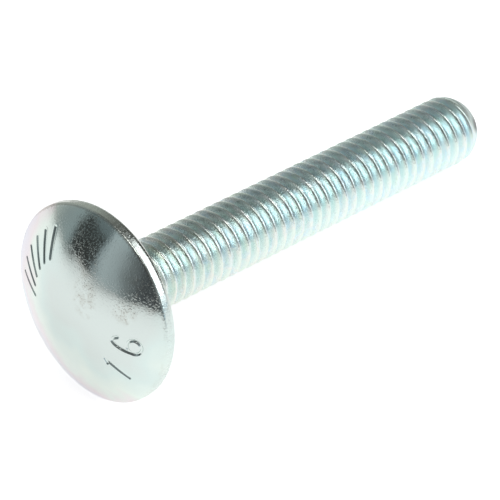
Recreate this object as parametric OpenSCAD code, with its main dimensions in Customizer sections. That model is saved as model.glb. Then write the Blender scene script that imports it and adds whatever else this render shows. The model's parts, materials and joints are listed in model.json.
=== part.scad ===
// Carriage bolt with a domed head and a square neck, forged and rolled from one blank.
// It lies on its side, resting on the rim of its head and on its rounded point.

/* [Head] */
// Diameter of the domed head
head_d = 16.4; // [15.4:0.1:16.6]
// Height of the head, from the bearing face to the top of the dome
head_h = 3.75; // [3.1:0.05:3.9]
// Thickness of the head at its rim
rim_h = 1.2; // [1:0.05:1.5]
// Radius that rounds the edge of the rim at the dome
front_round = 0.22; // [0.05:0.01:0.3]
// Radius that rounds the edge of the rim at the bearing face
back_round = 0.7; // [0.3:0.05:0.8]

/* [Square neck] */
// Width of the neck across its flats
neck_w = 6.2; // [5.9:0.02:6.48]
// Depth of the neck under the head, with its lead-in
neck_h = 3.45; // [3.4:0.05:4.6]
// Diameter of the neck across its rounded corners
neck_corner_d = 8; // [7.4:0.1:8.4]
// Angle between the lead-in and the axis of the bolt
lead_in_angle = 45; // [30:1:60]
// Turn of the neck about the axis, with a corner upwards at 45
neck_turn = 45; // [0:5:90]

/* [Shank] */
// Outside diameter of the thread
thread_d = 5.8; // [5.7:0.01:6]
// Length of the bolt under its head
bolt_l = 40.65; // [38.8:0.05:41.2]
// Length of the rounded point
point_l = 2.5; // [2:0.1:3.5]
// Diameter of the flat at the end of the point
point_flat_d = 2.4; // [2:0.1:4]

/* [Hidden] */

$fn = 96;

head_r = head_d / 2;
thread_r = thread_d / 2;

// The dome is a ball that passes through the top and the outer edge of the rim
dome_h = head_h - rim_h;
dome_r = (head_r ^ 2 + dome_h ^ 2) / (2 * dome_h);
dome_z = dome_r - head_h;

// The rounding at the dome's edge touches the dome here
front_r = head_r - front_round;
front_z = dome_z - sqrt((dome_r - front_round) ^ 2 - front_r ^ 2);
dome_edge_r = front_r * dome_r / (dome_r - front_round);

// The bearing face ends here, and the rounding of the rim's back edge begins
back_r = head_r - back_round;

// The point is an arc that leaves the shank without a corner and ends at the flat
point_flat_r = point_flat_d / 2;
point_depth = thread_r - point_flat_r;
point_arc = (point_l ^ 2 + point_depth ^ 2) / (2 * point_depth);
point_arc_r = thread_r - point_arc;
point_z = bolt_l - point_l;

// The bolt tips until the rim and the point both touch the surface that it lies on
seat_run = point_z + back_round;
seat_drop = back_r - point_arc_r;
rest_tilt = atan(seat_drop / seat_run) - asin((point_arc - back_round) / norm([seat_run, seat_drop]));

// Height of the bearing face's centre, and how far the bolt reaches each way from it
seat_height = back_r * cos(rest_tilt) - back_round * sin(rest_tilt) + back_round;
reach_head = dome_z * cos(rest_tilt) - dome_r;
reach_point = bolt_l * cos(rest_tilt) + point_flat_r * sin(rest_tilt);

// Half section of the head, with its axis along Y and its bearing face at zero
module head_section() {
    intersection() {
        translate([0, dome_z]) circle(r = dome_r);
        translate([0, -head_h]) square([dome_edge_r, head_h - back_round]);
    }
    translate([front_r, front_z]) circle(r = front_round);
    translate([0, front_z]) square([head_r, -front_z - back_round]);
    translate([back_r, -back_round]) circle(r = back_round);
    translate([0, front_z]) square([back_r, -front_z]);
}

// Half section of the shank, out to the crests of its thread
module shank_section() {
    square([thread_r, point_z]);
    intersection() {
        translate([point_arc_r, point_z]) circle(r = point_arc);
        translate([0, point_z - point_l]) square([thread_r, 2 * point_l]);
    }
}

// Square neck with turned corners, cut back to the shank by a cone
module square_neck() {
    lead_in = (neck_corner_d / 2 - thread_r) / tan(lead_in_angle);
    intersection() {
        rotate([0, 0, neck_turn])
            translate([-neck_w / 2, -neck_w / 2, -rim_h / 2])
                cube([neck_w, neck_w, neck_h + rim_h / 2]);
        rotate_extrude()
            polygon([
                [0, -rim_h / 2],
                [neck_corner_d / 2, -rim_h / 2],
                [neck_corner_d / 2, neck_h - lead_in],
                [thread_r, neck_h],
                [0, neck_h],
            ]);
    }
}

// The bolt along Z, from the dome below the bearing face to the point at the top
module upright_bolt() {
    rotate_extrude() {
        head_section();
        shank_section();
    }
    square_neck();
}

// The bolt as it lies, with its point towards +X
module carriage_bolt() {
    color("#c9d2d0")
        translate([-(reach_head + reach_point) / 2, 0, seat_height])
            rotate([0, 90 + rest_tilt, 0])
                upright_bolt();
}

carriage_bolt();
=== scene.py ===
import json
import math

import bmesh
import bpy
import numpy as np
from mathutils import Matrix, Quaternion, Vector


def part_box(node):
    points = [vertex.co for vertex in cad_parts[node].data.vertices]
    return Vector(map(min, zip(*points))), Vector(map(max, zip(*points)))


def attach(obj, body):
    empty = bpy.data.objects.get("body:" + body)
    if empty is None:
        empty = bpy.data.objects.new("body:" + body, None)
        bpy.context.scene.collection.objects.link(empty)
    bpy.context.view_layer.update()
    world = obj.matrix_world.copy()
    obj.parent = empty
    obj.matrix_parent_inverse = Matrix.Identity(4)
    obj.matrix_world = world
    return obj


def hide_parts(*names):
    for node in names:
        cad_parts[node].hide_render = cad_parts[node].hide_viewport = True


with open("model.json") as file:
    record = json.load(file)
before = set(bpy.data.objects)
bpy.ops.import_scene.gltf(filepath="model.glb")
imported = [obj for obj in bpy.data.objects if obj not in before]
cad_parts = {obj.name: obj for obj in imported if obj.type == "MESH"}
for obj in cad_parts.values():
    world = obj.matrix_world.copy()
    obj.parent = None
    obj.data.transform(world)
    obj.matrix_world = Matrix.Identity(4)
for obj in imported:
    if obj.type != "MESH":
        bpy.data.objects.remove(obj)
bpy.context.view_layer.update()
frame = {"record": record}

# The view: the photograph looks down on the dome from its left, through a long lens close to the bolt.
# The camera has no roll, and the lens's axis passes close to the bolt's middle.
LOOK_AT = Vector((-0.0088, -0.00624, 0.01095))
LOOK_AZIMUTH = math.radians(45.5)
LOOK_DOWN = math.radians(40.57)
LENS_DISTANCE = 0.31382
PICTURE_WIDTH = 500
LENS_IN_PIXELS = 4110


def direction(azimuth, elevation):
    """The way to an azimuth, counted from +X, and an elevation above the floor."""
    return Vector((
        math.cos(azimuth) * math.cos(elevation),
        math.sin(azimuth) * math.cos(elevation),
        math.sin(elevation),
    ))


camera_data = bpy.data.cameras.new("camera")
camera_data.sensor_width = 36
camera_data.lens = camera_data.sensor_width * LENS_IN_PIXELS / PICTURE_WIDTH
camera_data.clip_start = 0.01
camera_data.clip_end = 10
camera = bpy.data.objects.new("camera", camera_data)
line_of_sight = direction(LOOK_AZIMUTH, -LOOK_DOWN)
camera.location = LOOK_AT - line_of_sight * LENS_DISTANCE
camera.rotation_mode = "QUATERNION"
camera.rotation_quaternion = line_of_sight.to_track_quat("-Z", "Y")
bpy.context.scene.collection.objects.link(camera)
bpy.context.scene.camera = camera

# The blank: the bolt starts as a steel wire, and everything on it is measured from the face under the head.
# Sizes are in millimetres along and around the bolt, and the mounts say where that frame lies.
MM = 0.001
POINT_L = 2.5
mounts = {mount["name"]: mount for mount in frame["record"]["mounts"]}
along = Vector(mounts["thread"]["axis"]).normalized()
on_axis = Vector(mounts["thread"]["pos_m"])
on_face = Vector(mounts["bearing_face"]["pos_m"])
face_centre = on_axis + along * (on_face - on_axis).dot(along)
sideways = Vector((0, -1, 0))
upwards = sideways.cross(along)
bolt_frame = Matrix((upwards, sideways, along)).transposed().to_4x4()
bolt_frame.translation = face_centre

box_low, box_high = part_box("carriage_bolt")
head_r = (box_high.y - box_low.y) / 2 / MM
thread_r = mounts["thread"]["dims"]["r_mm"]
thread_l = mounts["thread"]["dims"]["length_mm"]
thread_middle = (on_axis - face_centre).dot(along) / MM
neck_h = thread_middle - thread_l / 2
point_z = thread_middle + thread_l / 2
bolt_l = point_z + POINT_L

# The thread: rolled between dies to M6 with its 1 mm pitch, right-handed, from the neck to the rounded point.
# It is one ribbon wound on the blank, a pitch wide, whose edges meet; its first and last turns are
# wedges, so that the ribbon starts and ends on a ring.
PITCH = 1.0
THREAD_ANGLE = math.radians(60)
POINT_FLAT_R = 1.2
STEPS_PER_TURN = 72
ROWS_PER_PITCH = 18
ROW_CROWDING = 0.5
steps = math.ceil(((bolt_l - neck_h) / PITCH + 1) * STEPS_PER_TURN)
point_depth = thread_r - POINT_FLAT_R
point_arc = (POINT_L**2 + point_depth**2) / (2 * point_depth)
thread_sizes = {
    "Outside radius": thread_r,
    "Pitch": PITCH,
    "Turns": steps / STEPS_PER_TURN,
    "Start": neck_h,
    "End": bolt_l,
    "Angle at the start": math.radians(90),
    "Thread depth": 0.6134 * PITCH,
    "Flank slope": 1 / math.tan(THREAD_ANGLE / 2),
    "Crest half width": PITCH / 24,
    "Crest rounding": 0.045,
    "Root rounding": 0.09,
    "Run-out at the neck": 0.3 * PITCH,
    "Fade starts before the end": 2.5 * PITCH,
    "Fade ends before the end": PITCH,
    "Point start": point_z,
    "Point arc": point_arc,
    "Point rounding": 0.1,
    "Weld distance": 0.0001,
}
thread_counts = {
    "Steps": steps + 1,
    "Rows": ROWS_PER_PITCH + 1,
}
thread_values = {**thread_sizes, **thread_counts}


class Wire:
    """An output of a node, so that maths on it is written as an expression."""

    def __init__(self, socket):
        self.socket = socket

    def node(self, kind, sockets, settings=None, out=0):
        """Adds a node of a kind, with its settings first, and gives one of its outputs."""
        tree = self.socket.id_data
        made = tree.nodes.new(kind)
        for name, value in (settings or {}).items():
            if name == "stops":
                set_stops(made.color_ramp, value)
            else:
                setattr(made, name, value)
        for key, value in sockets.items():
            if isinstance(value, Wire):
                tree.links.new(value.socket, made.inputs[key])
            else:
                made.inputs[key].default_value = value
        return Wire(made.outputs[out])

    def maths(self, operation, *others):
        values = (self, *others)
        return self.node("ShaderNodeMath", dict(enumerate(values)), {"operation": operation})

    def __add__(self, other):
        return self.maths("ADD", other)

    def __radd__(self, other):
        return self.maths("ADD", other)

    def __sub__(self, other):
        return self.maths("SUBTRACT", other)

    def __rsub__(self, other):
        return self.node("ShaderNodeMath", {0: other, 1: self}, {"operation": "SUBTRACT"})

    def __mul__(self, other):
        return self.maths("MULTIPLY", other)

    def __rmul__(self, other):
        return self.maths("MULTIPLY", other)

    def __truediv__(self, other):
        return self.maths("DIVIDE", other)

    def __rtruediv__(self, other):
        return self.node("ShaderNodeMath", {0: other, 1: self}, {"operation": "DIVIDE"})

    def __abs__(self):
        return self.maths("ABSOLUTE")

    def rise(self, low, high):
        """Goes smoothly from 0 at low to 1 at high."""
        return self.node(
            "ShaderNodeMapRange",
            {"Value": self, "From Min": low, "From Max": high},
            {"interpolation_type": "SMOOTHSTEP"},
        )

    def parts(self):
        """The three coordinates of this place."""
        split = self.node("ShaderNodeSeparateXYZ", {0: self}).socket.node
        return [Wire(output) for output in split.outputs]

    def away_from(self, place):
        """How far this place is from another."""
        return self.node("ShaderNodeVectorMath", {0: self, 1: place}, {"operation": "DISTANCE"}, out=1)

    def times(self, other):
        """Multiplies the three parts of this colour or place by those of another."""
        return self.node("ShaderNodeVectorMath", {0: self, 1: other}, {"operation": "MULTIPLY"})

    def coloured(self, stops):
        """Gives each value its colour on a ramp."""
        return self.node("ShaderNodeValToRGB", {"Fac": self}, {"stops": stops})

    def between(self, off, on):
        """Mixes two colours, sockets 6 and 7 of a Mix node, with this as the share of the second."""
        return self.node("ShaderNodeMix", {0: self, 6: off, 7: on}, {"data_type": "RGBA"}, out=2)


def set_stops(ramp, stops):
    for place, _ in stops[len(ramp.elements):]:
        ramp.elements.new(place)
    for element, (place, colour) in zip(ramp.elements, stops):
        element.position = place
        element.color = (*colour, 1)


thread_tree = bpy.data.node_groups.new("rolled_thread", "GeometryNodeTree")
thread_tree.interface.new_socket("Geometry", in_out="OUTPUT", socket_type="NodeSocketGeometry")
for name in thread_sizes:
    thread_tree.interface.new_socket(name, in_out="INPUT", socket_type="NodeSocketFloat")
for name in thread_counts:
    thread_tree.interface.new_socket(name, in_out="INPUT", socket_type="NodeSocketInt")
thread_input = thread_tree.nodes.new("NodeGroupInput")
thread_output = thread_tree.nodes.new("NodeGroupOutput")
size = {name: Wire(thread_input.outputs[name]) for name in thread_values}

# Rows are closer together at the crest, in the middle of the ribbon, and at the roots along its edges.
ribbon = size["Turns"].node(
    "GeometryNodeMeshGrid",
    {"Size X": size["Turns"], "Size Y": 1.0, "Vertices X": size["Steps"], "Vertices Y": size["Rows"]},
)
along_ribbon, across_ribbon, _ = ribbon.node("GeometryNodeInputPosition", {}).parts()
turn = along_ribbon + size["Turns"] * 0.5
even_row = across_ribbon + 0.5
row_wave = 2 * math.tau
row = even_row - (even_row * row_wave).maths("SINE") * (ROW_CROWDING / row_wave)

turn_before = (turn - 1.0).maths("MAXIMUM", 0.0)
near_edge = (size["Start"] + turn_before * size["Pitch"]).maths("MINIMUM", size["End"])
far_edge = (size["Start"] + turn * size["Pitch"]).maths("MINIMUM", size["End"])
height = near_edge + (far_edge - near_edge) * row

from_crest = abs(((height - size["Start"]) / size["Pitch"] - turn).maths("FRACT") - 0.5) * size["Pitch"]
flank = (from_crest - size["Crest half width"]) * size["Flank slope"]
groove = flank.maths("SMOOTH_MAX", 0.0, size["Crest rounding"])
groove = groove.maths("SMOOTH_MIN", size["Thread depth"], size["Root rounding"])
run_out = height.rise(size["Start"], size["Start"] + size["Run-out at the neck"])
fade_from = size["End"] - size["Fade starts before the end"]
fade_to = size["End"] - size["Fade ends before the end"]
threaded_r = size["Outside radius"] - groove * run_out * (1 - height.rise(fade_from, fade_to))

past_point = (height - size["Point start"]).maths("MAXIMUM", 0.0)
arc_drop = (size["Point arc"] * size["Point arc"] - past_point * past_point).maths("SQRT")
point_r = size["Outside radius"] - size["Point arc"] + arc_drop
surface_r = threaded_r.maths("SMOOTH_MIN", point_r, size["Point rounding"])

angle = turn * math.tau + size["Angle at the start"]
place = surface_r.node(
    "ShaderNodeCombineXYZ",
    {"X": surface_r * angle.maths("COSINE"), "Y": surface_r * angle.maths("SINE"), "Z": height},
)
wound = place.node("GeometryNodeSetPosition", {"Geometry": ribbon, "Position": place})
welded = wound.node("GeometryNodeMergeByDistance", {"Geometry": wound, "Distance": size["Weld distance"]})
smooth = welded.node("GeometryNodeSetShadeSmooth", {0: welded})
realized = smooth.node("GeometryNodeRealizeInstances", {0: smooth})

# The plating is the finish of the whole bolt, and its nodes are made once the bolt is whole.
zinc = bpy.data.materials.new("bright_zinc_plate")
plated = realized.node("GeometryNodeSetMaterial", {"Geometry": realized, "Material": zinc})
thread_tree.links.new(plated.socket, thread_output.inputs[0])

thread_maker = bpy.data.objects.new("thread_maker", bpy.data.meshes.new("thread_maker"))
bpy.context.scene.collection.objects.link(thread_maker)
rolling = thread_maker.modifiers.new("rolling", "NODES")
rolling.node_group = thread_tree
for item in thread_tree.interface.items_tree:
    if item.in_out == "INPUT":
        rolling[item.identifier] = thread_values[item.name]
bpy.context.view_layer.update()
evaluated = thread_maker.evaluated_get(bpy.context.evaluated_depsgraph_get())
thread_mesh = bpy.data.meshes.new_from_object(evaluated)
thread_maker.modifiers.clear()
bpy.data.objects.remove(thread_maker)

# The head: cold headed from the wire, a shallow dome with a narrow rim, flat underneath, on a square neck
# with turned corners. The marks are stamped into the dome before plating: a row of slanting strokes
# and a plain number. Columns and rows of the mesh are closest together where the marks are.
HEAD_H = 3.75
RIM_H = 1.2
FRONT_ROUND = 0.22
BACK_ROUND = 0.7
dome_h = HEAD_H - RIM_H
dome_r = (head_r**2 + dome_h**2) / (2 * dome_h)
dome_z = dome_r - HEAD_H
front_r = head_r - FRONT_ROUND
front_z = dome_z - math.sqrt((dome_r - FRONT_ROUND) ** 2 - front_r**2)
dome_edge_r = front_r * dome_r / (dome_r - FRONT_ROUND)

STAMP_DEPTH = 0.12
STAMP_HALF_WIDTH = 0.095
STAMP_WALL = 0.06
STAMP_LIP = 0.015
LIP_AWAY = STAMP_HALF_WIDTH + 1.6 * STAMP_WALL
STROKE_COUNT = 6
STROKE_SECTOR = (-96, -38)
STROKE_MIDDLE_R = 5.5
STROKE_HALF_LENGTH = 1.15
STROKE_SLANT = 24
NUMBER_R = 5.35
DIGIT_ANGLES = {"one": 121, "six": 91}
DIGIT_HALF_HEIGHT = 1.15
DIGIT_HALF_WIDTH = 0.62


def on_dome(radius, degrees):
    """A point of the dome seen from above it, by its distance from the axis and its angle from upwards."""
    turn_angle = math.radians(degrees)
    return np.array([radius * math.cos(turn_angle), radius * math.sin(turn_angle)])


def slanting_stroke(degrees):
    middle = on_dome(STROKE_MIDDLE_R, degrees)
    reach = on_dome(STROKE_HALF_LENGTH, degrees + STROKE_SLANT)
    return np.array([middle - reach, middle + reach])


def digit_one():
    """An upright with a flag. A digit is drawn from -1 to 1 each way."""
    flag, top, foot = (-0.4, 0.62), (0.0, 1.0), (0.0, -1.0)
    return np.array([flag, top, foot])


def digit_six():
    """The bowl, and the back that rises from its left side and hooks over."""
    bowl_half_height = 0.48
    bowl_middle = bowl_half_height - 1
    round_bowl = np.linspace(0, math.tau, 25) + math.pi
    bowl = np.stack([np.cos(round_bowl), np.sin(round_bowl) * bowl_half_height + bowl_middle], 1)
    round_back = np.radians(np.linspace(180, 50, 14)[1:])
    back = np.stack([np.cos(round_back), np.sin(round_back) * (1 - bowl_middle) + bowl_middle], 1)
    return np.concatenate([bowl, back])


def stamped_digit(outline, degrees):
    """Stands a digit on the dome with its head towards the middle."""
    middle = on_dome(NUMBER_R, degrees)
    right_reach = on_dome(1, degrees - 90) * DIGIT_HALF_WIDTH
    head_reach = -on_dome(1, degrees) * DIGIT_HALF_HEIGHT
    return middle + outline[:, :1] * right_reach + outline[:, 1:] * head_reach


stamps = [slanting_stroke(degrees) for degrees in np.linspace(*STROKE_SECTOR, STROKE_COUNT)]
stamps.append(stamped_digit(digit_one(), DIGIT_ANGLES["one"]))
stamps.append(stamped_digit(digit_six(), DIGIT_ANGLES["six"]))


def distance_to_stamps(points):
    """How far each point is from the middle of the nearest stroke."""
    nearest = np.full(len(points), np.inf)
    for line in stamps:
        for start, end in zip(line[:-1], line[1:]):
            step = end - start
            share = np.clip((points - start) @ step / (step @ step), 0, 1)
            gap = points - start - share[:, None] * step
            nearest = np.minimum(nearest, np.hypot(gap[:, 0], gap[:, 1]))
    return nearest


def smooth_rise(values, low, high):
    share = np.clip((values - low) / (high - low), 0, 1)
    return share * share * (3 - 2 * share)


def spaced(low, high, count, busy, weight):
    """Values from low to high, closer together by a weight inside the busy stretches."""
    fine = np.linspace(low, high, 4000)
    density = np.ones_like(fine)
    for start, end in busy:
        ramp = (end - start) / 15
        density += (weight - 1) * smooth_rise(fine, start - ramp, start)
        density -= (weight - 1) * smooth_rise(fine, end, end + ramp)
    total = np.concatenate([[0], np.cumsum((density[1:] + density[:-1]) / 2)])
    return np.interp(np.linspace(0, total[-1], count), total, fine)


DOME_COLUMNS = 344
DOME_ROWS = 98
INNERMOST_R = 0.3
STAMPED_SECTORS = ((-106, -28), (76, 136))
STAMPED_BAND = (4.0, 6.9)
column_degrees = spaced(-180, 180, DOME_COLUMNS + 1, STAMPED_SECTORS, weight=6.5)
dome_angles = np.radians(column_degrees[:-1])
dome_radii = spaced(INNERMOST_R, dome_edge_r, DOME_ROWS, (STAMPED_BAND,), weight=6)
vertices = []
faces = []


def add_vertices(places):
    """Adds vertices to the bolt, and gives their numbers."""
    first = sum(len(added) for added in vertices)
    vertices.append(places)
    return np.arange(first, first + len(places))


def add_ring(radius, height, angles):
    """Adds one ring of vertices, whose radius and height may change round it, and gives their numbers."""
    heights = np.broadcast_to(height, angles.shape)
    return add_vertices(np.stack([radius * np.cos(angles), radius * np.sin(angles), heights], 1))


def loft(rings):
    """Joins rings of as many vertices each with quads."""
    for lower, upper in zip(rings[:-1], rings[1:]):
        quads = np.stack([lower, np.roll(lower, -1), np.roll(upper, -1), upper], 1)
        faces.extend(quads.tolist())


def cap(ring, height):
    """Closes a ring with triangles to a vertex on the axis."""
    centre = add_vertices(np.array([[0.0, 0.0, height]]))
    fan = np.stack([ring, np.roll(ring, -1), np.repeat(centre, len(ring))], 1)
    faces.extend(fan.tolist())


def come_round(ring, angles):
    """Repeats a ring's first vertex at its end, a full turn on."""
    return np.append(ring, ring[0]).tolist(), np.append(angles, angles[0] + math.tau)


def lace(lower, lower_angles, upper, upper_angles):
    """Joins two rings with unlike numbers of vertices by triangles, in the order of their angles."""
    lower, lower_angles = come_round(lower, lower_angles)
    upper, upper_angles = come_round(upper, upper_angles)
    low = up = 0
    while low + 1 < len(lower) or up + 1 < len(upper):
        if up + 1 == len(upper) or (low + 1 < len(lower) and lower_angles[low + 1] <= upper_angles[up + 1]):
            faces.append((lower[low], lower[low + 1], upper[up]))
            low += 1
        else:
            faces.append((lower[low], upper[up + 1], upper[up]))
            up += 1


dome_rings = []
for radius in dome_radii:
    points = np.stack([radius * np.cos(dome_angles), radius * np.sin(dome_angles)], 1)
    gap = distance_to_stamps(points)
    sunk = STAMP_DEPTH * (1 - smooth_rise(gap, STAMP_HALF_WIDTH - STAMP_WALL, STAMP_HALF_WIDTH + STAMP_WALL))
    sunk -= STAMP_LIP * np.exp(-(((gap - LIP_AWAY) / STAMP_WALL) ** 2))
    sphere_z = dome_z - math.sqrt(dome_r**2 - radius**2)
    outward = radius / dome_r
    inward = math.sqrt(1 - outward**2)
    dome_rings.append(add_ring(radius - sunk * outward, sphere_z + sunk * inward, dome_angles))
loft(dome_rings)
cap(dome_rings[0][::-1], -HEAD_H)

FRONT_ROWS = 7
BACK_ROWS = 13


def rounding(middle_r, middle_z, radius, leans):
    """Adds the rings of a rounded edge of the rim, and gives them."""
    return [
        add_ring(middle_r + radius * math.sin(lean), middle_z - radius * math.cos(lean), dome_angles)
        for lean in leans
    ]


dome_lean = math.asin(dome_edge_r / dome_r)
rim_rings = [
    dome_rings[-1],
    *rounding(front_r, front_z, FRONT_ROUND, np.linspace(dome_lean, math.pi / 2, FRONT_ROWS)[1:]),
    *rounding(head_r - BACK_ROUND, -BACK_ROUND, BACK_ROUND, np.linspace(math.pi / 2, math.pi, BACK_ROWS)),
]
loft(rim_rings)

# The square neck: forged with the head, it stops the bolt from turning in its hole. Its four flats end in
# the curved edges that its lead-in, a cone at 45 degrees to the axis, cuts into them. A small fillet
# joins it to the head.
NECK_W = 6.2
NECK_CORNER_R = 4.0
NECK_TURN = math.radians(45)
NECK_FILLET = 0.25
NECK_EDGE = 0.08
UNDER_HEAD_RADII = (7.35, 6.6, 5.6, 4.9)
NECK_COLUMNS = 160
FILLET_ROWS = 6
FLAT_ROWS = 5
FLATS_END_EARLY = 0.15
CONE_ROWS = 16
CONE_STARTS_EARLY = 0.1
CONE_ENDS_EARLY = 0.06
lead_in = NECK_CORNER_R - thread_r
neck_angles = np.linspace(-math.pi, math.pi, NECK_COLUMNS, endpoint=False)


def soft_least(first, second, width):
    """The smaller of two values, with the change from one to the other rounded over a width."""
    near = np.maximum(width - np.abs(first - second), 0) / width
    return np.minimum(first, second) - near**2 * width / 4


quarter = math.pi / 2
from_flat = np.abs((neck_angles - NECK_TURN + quarter / 2) % quarter - quarter / 2)
neck_outline = soft_least(NECK_W / 2 / np.cos(from_flat), NECK_CORNER_R, NECK_EDGE)
under_rings = [add_ring(radius, 0.0, neck_angles) for radius in UNDER_HEAD_RADII]
for lean in np.linspace(0, math.pi / 2, FILLET_ROWS):
    stand_off = NECK_FILLET * (1 - math.sin(lean))
    under_rings.append(add_ring(neck_outline + stand_off, NECK_FILLET * (1 - math.cos(lean)), neck_angles))
for height in np.linspace(NECK_FILLET, neck_h - lead_in - FLATS_END_EARLY, FLAT_ROWS)[1:]:
    under_rings.append(add_ring(neck_outline, height, neck_angles))
for height in np.linspace(neck_h - lead_in - CONE_STARTS_EARLY, neck_h - CONE_ENDS_EARLY, CONE_ROWS):
    cone_r = thread_r + (neck_h - height)
    under_rings.append(add_ring(soft_least(neck_outline, cone_r, NECK_EDGE), height, neck_angles))
lace(rim_rings[-1], dome_angles, under_rings[0], neck_angles)
loft(under_rings)

# The whole bolt: head, neck and thread are one piece of steel, so their meshes are sewn into one skin.
# The flat at the end of the point is where the blank was sheared, and it is a little hollow.
SAME_HEIGHT = 0.00001
SAME_PLANE = 0.0001 * MM
END_HOLLOW = 0.06
HOLLOW_SHARES = (0.93, 0.7, 0.35)
thread_places = np.empty(len(thread_mesh.vertices) * 3)
thread_mesh.vertices.foreach_get("co", thread_places)
thread_places = thread_places.reshape(-1, 3)
thread_angles = np.arctan2(thread_places[:, 1], thread_places[:, 0])
thread_numbers = add_vertices(thread_places)
first_thread = int(thread_numbers[0])
faces.extend([first_thread + corner for corner in face.vertices] for face in thread_mesh.polygons)


def ring_at(height):
    """The thread's vertices on a ring at its start or its end, in the order of their angles."""
    found = np.flatnonzero(np.abs(thread_places[:, 2] - height) < SAME_HEIGHT)
    order = found[np.argsort(thread_angles[found])]
    return thread_numbers[order], thread_angles[order]


start_ring, start_angles = ring_at(neck_h)
end_ring, end_angles = ring_at(bolt_l)
lace(under_rings[-1], neck_angles, start_ring, start_angles)

hollow_rings = [end_ring]
for share in HOLLOW_SHARES:
    hollow_rings.append(add_ring(POINT_FLAT_R * share, bolt_l - END_HOLLOW * (1 - share**2), end_angles))
loft(hollow_rings)
cap(hollow_rings[-1], bolt_l - END_HOLLOW)

bolt_mesh = bpy.data.meshes.new("bolt")
bolt_mesh.from_pydata(np.concatenate(vertices).tolist(), [], faces)
bolt_mesh.transform(bolt_frame @ Matrix.Scale(MM, 4))
skin = bmesh.new()
skin.from_mesh(bolt_mesh)
bmesh.ops.recalc_face_normals(skin, faces=skin.faces)
for face in skin.faces:
    face.smooth = True
sheared = bolt_frame @ Vector((0, 0, bolt_l * MM))
for edge in skin.edges:
    if all(abs((corner.co - sheared).dot(along)) < SAME_PLANE for corner in edge.verts):
        edge.smooth = False
open_edges = sum(1 for edge in skin.edges if not edge.is_manifold)
skin.to_mesh(bolt_mesh)
skin.free()
triangles = sum(len(face.vertices) - 2 for face in bolt_mesh.polygons)
print("bolt: vertices", len(bolt_mesh.vertices), "triangles", triangles, "open edges", open_edges)

bolt = bpy.data.objects.new("bolt", bolt_mesh)
bpy.context.scene.collection.objects.link(bolt)
bolt_mesh.materials.append(zinc)
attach(bolt, "root")
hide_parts("carriage_bolt")

# The plating: bright zinc with a clear blue passivate, a few thousandths of a millimetre thick. It follows
# the grain of the forged steel, and its tint drifts between green, blue and lilac. It is pitted in places on
# the dome, browned at the top of the rim and of the point, with painted shade in the rim's brown, and has a
# near-black painted dark reflection at the right of the point.


def bare_tree(owner, output_kind="ShaderNodeOutputMaterial"):
    """Empties the nodes of a material or of the world, and gives its tree and a new output."""
    owner.use_nodes = True
    owner.node_tree.nodes.clear()
    return owner.node_tree, owner.node_tree.nodes.new(output_kind)


zinc_tree, zinc_output = bare_tree(zinc)
surface = zinc_tree.nodes.new("ShaderNodeBsdfPrincipled")
surface.inputs["Metallic"].default_value = 1
zinc_tree.links.new(surface.outputs[0], zinc_output.inputs[0])

in_metres = Wire(zinc_tree.nodes.new("ShaderNodeTexCoord").outputs["Object"])
in_bolt = in_metres.node(
    "ShaderNodeMapping",
    {
        "Vector": in_metres,
        "Location": face_centre,
        "Rotation": bolt_frame.to_euler(),
        "Scale": (MM, MM, MM),
    },
    {"vector_type": "TEXTURE"},
)
up_mm, side_mm, along_mm = in_bolt.parts()


def noise(scale, detail=2.0, roughness=0.5, stretch=(1, 1, 1)):
    """Noise in the bolt's own frame, scale times per millimetre."""
    stretched = in_bolt.times(stretch)
    return stretched.node(
        "ShaderNodeTexNoise",
        {"Vector": stretched, "Scale": scale, "Detail": detail, "Roughness": roughness},
    )


def distance(first, second):
    """How far a place is away, by how far it is away in each of two directions."""
    return (first * first + second * second).maths("SQRT")


# Parts of the bolt that look different, each from 0 to 1, by their place in millimetres.
from_axis = distance(up_mm, side_mm)
is_thread = along_mm.rise(2.3, 3.3)
is_far = along_mm.rise(12, 40)
is_point = along_mm.rise(38, 39.5)
is_ridge = from_axis.rise(2.5, 2.82)
is_crest = from_axis.rise(2.72, 2.84)
is_dome_top = up_mm.rise(4, 7.5)
is_rim = from_axis.rise(7.85, 8.05)
is_wall = from_axis.rise(8.14, 8.185)

# The steel's grain under the plating, and the lines that trimming left on the rim and rolling on the thread.
grain = noise(scale=6.5, roughness=0.6)
grain_dots = grain.rise(0.48, 0.72)
patchy = noise(scale=1.1, roughness=0.6).rise(0.4, 0.6)
rubbed = noise(scale=0.9, detail=4, roughness=0.6).rise(0.45, 0.7)
trimmed = noise(scale=1.0, detail=3, roughness=0.7, stretch=(5, 5, 0.8))
torn = trimmed.rise(0.42, 0.62)
rolled = noise(scale=1.0, detail=3, roughness=0.6, stretch=(0.7, 0.7, 13))
waves = noise(scale=0.35, detail=1)

# The passivate's film grows thicker away from the right of the dome and thinner towards the dome's top, and
# its colour changes with it. The thread has a film of its own, warmer on the crests than in the grooves, and
# lighter on the crests as a painted highlight.
FILM_COLOURS = (
    (0.32, (0.70, 0.77, 0.74)),
    (0.46, (0.71, 0.82, 0.785)),
    # This stop, the lightest, is a pale green tint, made lighter as a painted reflection of the floor on the
    # lower dome.
    (0.60, (0.80, 0.885, 0.82)),
    (0.70, (0.83, 0.765, 0.775)),
    (0.80, (0.77, 0.755, 0.82)),
    (0.92, (0.70, 0.785, 0.81)),
)
FILM_THIN_UP = 1.5
FILM_THIN_SIDE = 2.5
FILM_REACH = 12
FILM_UNEVEN = 0.5
TOP_THINNING = 0.13
film = distance(up_mm - FILM_THIN_UP, side_mm - FILM_THIN_SIDE) / FILM_REACH
film = film + (noise(scale=0.25) - 0.5) * FILM_UNEVEN - is_dome_top * TOP_THINNING
dome_tint = film.coloured(FILM_COLOURS)

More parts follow.
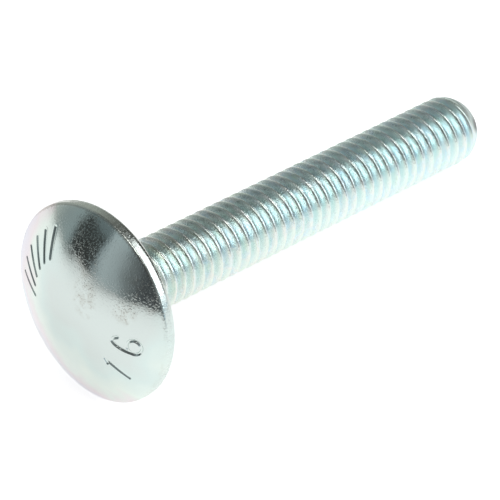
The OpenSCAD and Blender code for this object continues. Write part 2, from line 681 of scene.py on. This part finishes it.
THREAD_COLOURS = (
    (0.46, (0.80, 0.92, 0.88)),
    (0.52, (0.85, 0.90, 0.875)),
    (0.57, (0.77, 0.895, 0.92)),
    (0.64, (0.80, 0.925, 0.86)),
)
# Along the thread: warmer towards the head and cooler towards the point, with painted shade towards the head
# and painted light towards the point.
BY_THE_HEAD_TINT_AND_SHADE = (0.93, 0.91, 0.89, 1)
BY_THE_POINT_TINT_AND_LIGHT = (0.96, 0.99, 0.995, 1)
IN_THE_GROOVE = (0.955, 1.0, 1.03, 1)
# Crests: a warmer tint, made lighter as a painted highlight.
ON_THE_CREST_TINT_AND_HIGHLIGHT = (1.08, 1.04, 1.01, 1)
along_tint_and_shading = along_mm.rise(3, 30).between(BY_THE_HEAD_TINT_AND_SHADE, BY_THE_POINT_TINT_AND_LIGHT)
ridge_tint_and_highlight = is_ridge.between(IN_THE_GROOVE, ON_THE_CREST_TINT_AND_HIGHLIGHT)
thread_film = noise(scale=0.5, detail=3, roughness=0.6, stretch=(0.6, 0.6, 2.2))
thread_tint_and_light = thread_film.coloured(THREAD_COLOURS).times(along_tint_and_shading).times(ridge_tint_and_highlight)
clean_tint = is_thread.between(dome_tint, thread_tint_and_light)

# Worn places on the dome where the plating is pitted: how far up, how far to the side, and their radius.
PITTED_PLACES = (
    (7.3, -0.7, 1.1),
    (6.0, -0.2, 1.3),
    (4.7, 0.7, 1.1),
    (4.5, 5.5, 1.3),
    (4.1, 6.9, 1.1),
    (2.8, 1.2, 1.1),
    (1.7, 1.4, 1.1),
    (2.5, 4.8, 1.0),
)
PIT_CORE = 0.6
PIT_REACH = 1.2
RIM_PITTING = 0.3
is_pitted = is_rim * RIM_PITTING
for pit_up, pit_side, pit_r in PITTED_PLACES:
    away = distance(up_mm - pit_up, side_mm - pit_side)
    is_pitted = is_pitted.maths("MAXIMUM", 1 - away.rise(pit_r * PIT_CORE, pit_r * PIT_REACH))
is_pitted = is_pitted * (1 - is_thread)

# Brown in the pits, along the upper edge of the rim and on top of the point, and a near-black painted dark
# reflection at a spot on the right of the point.
STAIN_AND_SHADE_BROWN = (0.42, 0.39, 0.33, 1)
PIT_STAIN = 0.2
PIT_DOT_STAIN = 0.45
EDGE_STAIN_AND_SHADE = 0.3
EDGE_STREAK_STAIN_AND_SHADE = 0.35
POINT_BROWNING = 0.5
PAINTED_DARK_REFLECTION = (0.13, 0.125, 0.12, 1)
DARK_REFLECTION_SPOT = (1.24, 2.06, 39.7)
DARK_REFLECTION_SHARE = 0.85
# Along the upper edge of the rim the brown is a stain with trimming streaks, and also painted shade, a
# painted dark reflection of the room.
is_upper_edge = from_axis.rise(7.97, 8.06) * up_mm.rise(3, 6)
# On top of the point the colour is browner and darker.
is_point_top = along_mm.rise(38.9, 39.7) * up_mm.rise(0.5, 1.6)
pit_share = is_pitted * patchy * (PIT_STAIN + grain_dots * PIT_DOT_STAIN)
edge_stain_and_shade = is_upper_edge * (EDGE_STAIN_AND_SHADE + trimmed * EDGE_STREAK_STAIN_AND_SHADE)
point_share = is_point_top * POINT_BROWNING
brown_share = pit_share.maths("MAXIMUM", edge_stain_and_shade).maths("MAXIMUM", point_share)
# A painted dark reflection: a near-black spot where the point mirrors a dark place in the room.
is_dark_reflection = 1 - in_bolt.away_from(DARK_REFLECTION_SPOT).rise(0.2, 0.95)
tint = (is_dark_reflection * DARK_REFLECTION_SHARE).between(brown_share.between(clean_tint, STAIN_AND_SHADE_BROWN), PAINTED_DARK_REFLECTION)
zinc_tree.links.new(tint.socket, surface.inputs["Base Color"])

# How dull each part is.
DOME_DULL = 0.1
RUBBED_DULL = 0.03
GRAIN_DULL = 0.08
THREAD_DULL = 0.165
FAR_DULL = 0.02
POINT_DULL = 0.12
CREST_SHINE = 0.05
WALL_DULL = 0.05
TORN_DULL = 0.16
thread_dull = THREAD_DULL + is_far * FAR_DULL + is_point * POINT_DULL - is_crest * CREST_SHINE
wall_dull = is_wall * (WALL_DULL + torn * TORN_DULL)
dome_dull = DOME_DULL + rubbed * RUBBED_DULL + (grain - 0.5) * GRAIN_DULL
roughness = dome_dull + is_thread * thread_dull + wall_dull
zinc_tree.links.new(roughness.socket, surface.inputs["Roughness"])

# How high the relief of each part is, in millimetres.
WAVE_H = 0.06
DOT_H = 0.002
PIT_DOT_H = 0.0012
PATCH_DOT_H = 0.0025
RIM_DOT_H = 0.003
THREAD_GRAIN_H = 0.014
ROLLED_H = 0.008
dot_h = DOT_H + is_pitted * (PIT_DOT_H + patchy * PATCH_DOT_H) + is_rim * RIM_DOT_H
thread_h = (grain * THREAD_GRAIN_H + rolled * ROLLED_H) * is_thread
relief = waves * WAVE_H + grain_dots * dot_h + thread_h
bump = relief.node("ShaderNodeBump", {"Strength": 1.0, "Distance": MM, "Height": relief})
zinc_tree.links.new(bump.socket, surface.inputs["Normal"])

# The studio: a white floor that runs to the horizon, three soft boxes and dim walls.
# The camera sees the floor as the photograph's white, with the bolt's shadow. The metal mirrors it less
# brightly, and least of all far from the bolt.
FLOOR_R = 1.0
FLOOR_SIDES = 96
FLOOR_FILL = 0.68
FLOOR_PAINT = 0.68
LIT_POOL_R = 0.22
NEAR_FLOOR_DIM = 0.15
FAR_FLOOR_DIM = 0.53


def stand(name, shape):
    """Puts a shape in the studio, as an object."""
    mesh = bpy.data.meshes.new(name)
    shape.to_mesh(mesh)
    shape.free()
    item = bpy.data.objects.new(name, mesh)
    bpy.context.scene.collection.objects.link(item)
    return item


def seen_directly(rays):
    """1 for rays from the camera or from a mirror-like or clear surface, and 0 for other light."""
    straight = Wire(rays.outputs["Is Camera Ray"]).maths("MAXIMUM", Wire(rays.outputs["Is Glossy Ray"]))
    return straight.maths("MAXIMUM", Wire(rays.outputs["Is Transmission Ray"]))


floor_disc = bmesh.new()
bmesh.ops.create_circle(floor_disc, cap_ends=True, radius=FLOOR_R, segments=FLOOR_SIDES)
floor = stand("floor", floor_disc)
floor_white = bpy.data.materials.new("white_floor")
floor_tree, floor_output = bare_tree(floor_white)
floor_rays = floor_tree.nodes.new("ShaderNodeLightPath")
direct = seen_directly(floor_rays)
floor_place = Wire(floor_tree.nodes.new("ShaderNodeTexCoord").outputs["Object"])
pools_away = floor_place.away_from((0, 0, 0)) / LIT_POOL_R
far_share = 1 - 1 / (pools_away * pools_away + 1)
# For mirror rays the floor's paint and glow are dimmed: painted shade that deepens with distance from a
# painted pool of light round the bolt.
shade = 1 - Wire(floor_rays.outputs["Is Glossy Ray"]) * (NEAR_FLOOR_DIM + FAR_FLOOR_DIM * far_share)
paint = direct.node("ShaderNodeBsdfDiffuse", {"Color": shade * FLOOR_PAINT})
fill = direct.node("ShaderNodeEmission", {"Color": (1, 1, 1, 1), "Strength": direct * shade * FLOOR_FILL})
both = paint.node("ShaderNodeAddShader", {0: paint, 1: fill})
floor_tree.links.new(both.socket, floor_output.inputs[0])
floor.data.materials.append(floor_white)

# Once round the room, from -180 to 180 degrees, with a dark doorway at 145 degrees and a dim corner at -168.
ROUND_THE_ROOM = (
    (-180, (0.16, 0.175, 0.18)),
    (-174, (0.10, 0.108, 0.115)),
    (-168, (0.065, 0.07, 0.075)),
    (-162, (0.075, 0.08, 0.085)),
    (-140, (0.24, 0.26, 0.27)),
    (-100, (0.22, 0.24, 0.25)),
    (-60, (0.20, 0.21, 0.21)),
    (-20, (0.09, 0.09, 0.085)),
    (12, (0.07, 0.072, 0.068)),
    (30, (0.20, 0.21, 0.20)),
    (50, (0.46, 0.49, 0.465)),
    (85, (0.46, 0.49, 0.475)),
    (112, (0.42, 0.45, 0.45)),
    (119, (0.28, 0.305, 0.31)),
    (133, (0.29, 0.33, 0.34)),
    (136, (0.045, 0.048, 0.047)),
    (153.5, (0.045, 0.048, 0.047)),
    (156, (0.29, 0.33, 0.35)),
    (162, (0.43, 0.48, 0.50)),
    (172, (0.33, 0.37, 0.385)),
    (180, (0.16, 0.175, 0.18)),
)
WALL_R = 1.0
WALL_COLUMNS = 64
WALL_ROWS = 48
JUST_BELOW_FLOOR = -0.001
OVERHEAD = (0.16, 0.17, 0.168, 1)
LINTEL = (0.15, 0.18, 0.19, 1)
SKIRTING = (0.50, 0.60, 0.68, 1)
DOORWAY_AT = 145
SKIRTING_AT = -75
DEGREES = 180 / math.pi

room_shell = bmesh.new()
bmesh.ops.create_uvsphere(room_shell, u_segments=WALL_COLUMNS, v_segments=WALL_ROWS, radius=WALL_R)
below = [corner for corner in room_shell.verts if corner.co.z < JUST_BELOW_FLOOR]
bmesh.ops.delete(room_shell, geom=below, context="VERTS")
walls = stand("studio_walls", room_shell)
walls.visible_camera = False
walls.visible_diffuse = False
walls.visible_transmission = False
walls.visible_shadow = False

wall_paint = bpy.data.materials.new("dim_walls")
wall_tree, wall_output = bare_tree(wall_paint)
wall_x, wall_y, wall_z = Wire(wall_tree.nodes.new("ShaderNodeTexCoord").outputs["Object"]).parts()
azimuth = wall_y.maths("ARCTAN2", wall_x) * DEGREES
elevation = (wall_z / WALL_R).maths("ARCSINE") * DEGREES
room_stops = [(degrees / 360 + 0.5, colour) for degrees, colour in ROUND_THE_ROOM]
wall_colour = (azimuth / 360 + 0.5).coloured(room_stops)
skirting_share = (1 - abs(azimuth - SKIRTING_AT).rise(35, 50)) * (1 - elevation.rise(7, 14))
lintel_share = (1 - abs(azimuth - DOORWAY_AT).rise(10, 14)) * elevation.rise(20, 24)
wall_colour = skirting_share.between(wall_colour, SKIRTING)
wall_colour = lintel_share.between(wall_colour, LINTEL)
wall_colour = elevation.rise(38, 54).between(wall_colour, OVERHEAD)
glow = wall_colour.node("ShaderNodeEmission", {"Color": wall_colour, "Strength": 1.0})
wall_tree.links.new(glow.socket, wall_output.inputs[0])
walls.data.materials.append(wall_paint)

LAMP_DISTANCE = 0.62
WATTS_PER_WHITE = 4


def soft_box(name, azimuth, elevation, roll, width, height, brightness, colour):
    """A soft box that faces the bolt; its brightness is that of its face, where 1 is white."""
    lamp_data = bpy.data.lights.new(name, "AREA")
    lamp_data.shape = "RECTANGLE"
    lamp_data.size = width
    lamp_data.size_y = height
    lamp_data.energy = brightness * WATTS_PER_WHITE * width * height
    lamp_data.color = colour
    lamp = bpy.data.objects.new(name, lamp_data)
    away = direction(math.radians(azimuth), math.radians(elevation))
    lamp.location = away * LAMP_DISTANCE
    lamp.rotation_mode = "QUATERNION"
    lamp.rotation_quaternion = away.to_track_quat("Z", "Y") @ Quaternion((0, 0, 1), math.radians(roll))
    bpy.context.scene.collection.objects.link(lamp)


soft_box(
    "key_box",
    azimuth=-34, elevation=33, roll=45,
    width=0.62, height=0.23, brightness=1.85, colour=(0.96, 1.0, 1.04),
)
soft_box(
    "side_box",
    azimuth=-54, elevation=38.5, roll=62,
    width=0.62, height=0.23, brightness=1.65, colour=(0.92, 0.99, 1.06),
)
soft_box(
    "front_box",
    azimuth=-137, elevation=74, roll=0,
    width=0.2, height=0.3, brightness=2.6, colour=(1, 1, 1),
)

# The world is white to the camera, and everything else gets less light from it.
ROOM_LIGHT = 0.45
world = bpy.data.worlds.new("white_room")
bpy.context.scene.world = world
world_tree, world_output = bare_tree(world, "ShaderNodeOutputWorld")
seen = seen_directly(world_tree.nodes.new("ShaderNodeLightPath"))
room = seen.node(
    "ShaderNodeBackground",
    {"Color": (1, 1, 1, 1), "Strength": ROOM_LIGHT + seen * (1 - ROOM_LIGHT)},
)
world_tree.links.new(room.socket, world_output.inputs[0])
bpy.context.scene.view_settings.view_transform = "Standard"
